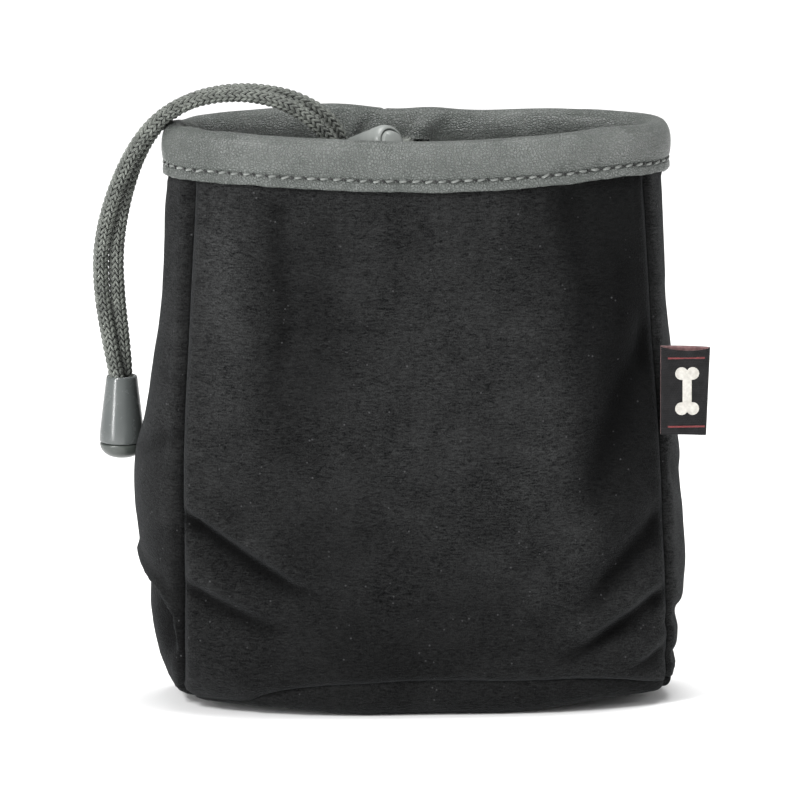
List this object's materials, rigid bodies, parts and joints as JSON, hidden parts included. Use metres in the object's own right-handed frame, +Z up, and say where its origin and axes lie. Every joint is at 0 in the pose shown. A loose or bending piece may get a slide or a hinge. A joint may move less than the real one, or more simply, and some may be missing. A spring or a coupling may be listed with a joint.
{
  "type": "treat pouch",
  "caption": "Lined soft treat pouch with a drawstring rim, cord lock, hanging cord end, side label and a belt clip on its back.",
  "frame": {"origin": "middle of the flat underside, on the surface that the pouch stands on", "axes": "+Z up, +X to the right as seen from the front, the front panel faces -Y and the belt clip is on +Y"},
  "size_m": [0.1418, 0.069, 0.1469],
  "materials": {
    "velour": "short black velour pile",
    "lining": "thin woven nylon, dull",
    "binding": "grey leather-look tape, fine pebble grain, semi-gloss",
    "thread": "grey sewing thread",
    "cord": "braided polyester cord",
    "cord_plastic": "semi-gloss moulded plastic",
    "plug_plastic": "semi-gloss moulded plastic, darker",
    "lock_plastic": "satin moulded plastic, light grey",
    "spring_steel": "bright spring steel",
    "clip_steel": "nickel-plated steel strip",
    "rivet_metal": "nickel-plated domed rivet",
    "label": null
  },
  "bodies": {
    "bag": {"shell_front_panel": "velour", "shell_back_panel": "velour", "shell_left_gusset": "velour", "shell_right_gusset": "velour", "shell_base_panel": "velour", "lining_front_panel": "lining", "lining_back_panel": "lining", "lining_left_gusset": "lining", "lining_right_gusset": "lining", "lining_base_panel": "lining", "rim_binding": "binding", "binding_thread": "thread", "drawstring": "cord", "cord_arch_front": "cord", "cord_arch_back": "cord", "back_patch": "binding", "belt_clip": "clip_steel", "clip_rivets": "rivet_metal"},
    "cord_end": {"cord_tail_front": "cord", "cord_tail_back": "cord", "cord_end_bell": "cord_plastic", "cord_end_plug": "plug_plastic", "cord_end_knot": "cord"},
    "cord_lock": {"cord_lock_body": "lock_plastic", "cord_lock_spring": "spring_steel"},
    "lock_button": {"cord_lock_plunger": "lock_plastic"},
    "label": {"side_tag": "label"}
  },
  "joints": [
    {"name": "cord_end_swing", "type": "hinge", "parent": "bag", "child": "cord_end", "pos_m": [-0.06295, 0.0027, 0.1319], "axis": [0, 1, 0], "range_deg": [0, 45]},
    {"name": "cord_lock_slide", "type": "slide", "parent": "bag", "child": "cord_lock", "axis": [0.7207, 0.6907, 0.0601], "range_m": [0, 0.0045]},
    {"name": "lock_button_press", "type": "slide", "parent": "cord_lock", "child": "lock_button", "axis": [-0.6203, 0.6804, -0.3902], "range_m": [0, 0.003], "stiffness_N_per_m": 300, "deforming": ["cord_lock_spring"]},
    {"name": "label_flap", "type": "hinge", "parent": "bag", "child": "label", "pos_m": [0.0552, -0.0164, 0.0735], "axis": [0, 0, 1], "range_deg": [-60, 20], "stiffness_Nm_per_rad": 0.0005}
  ]
}
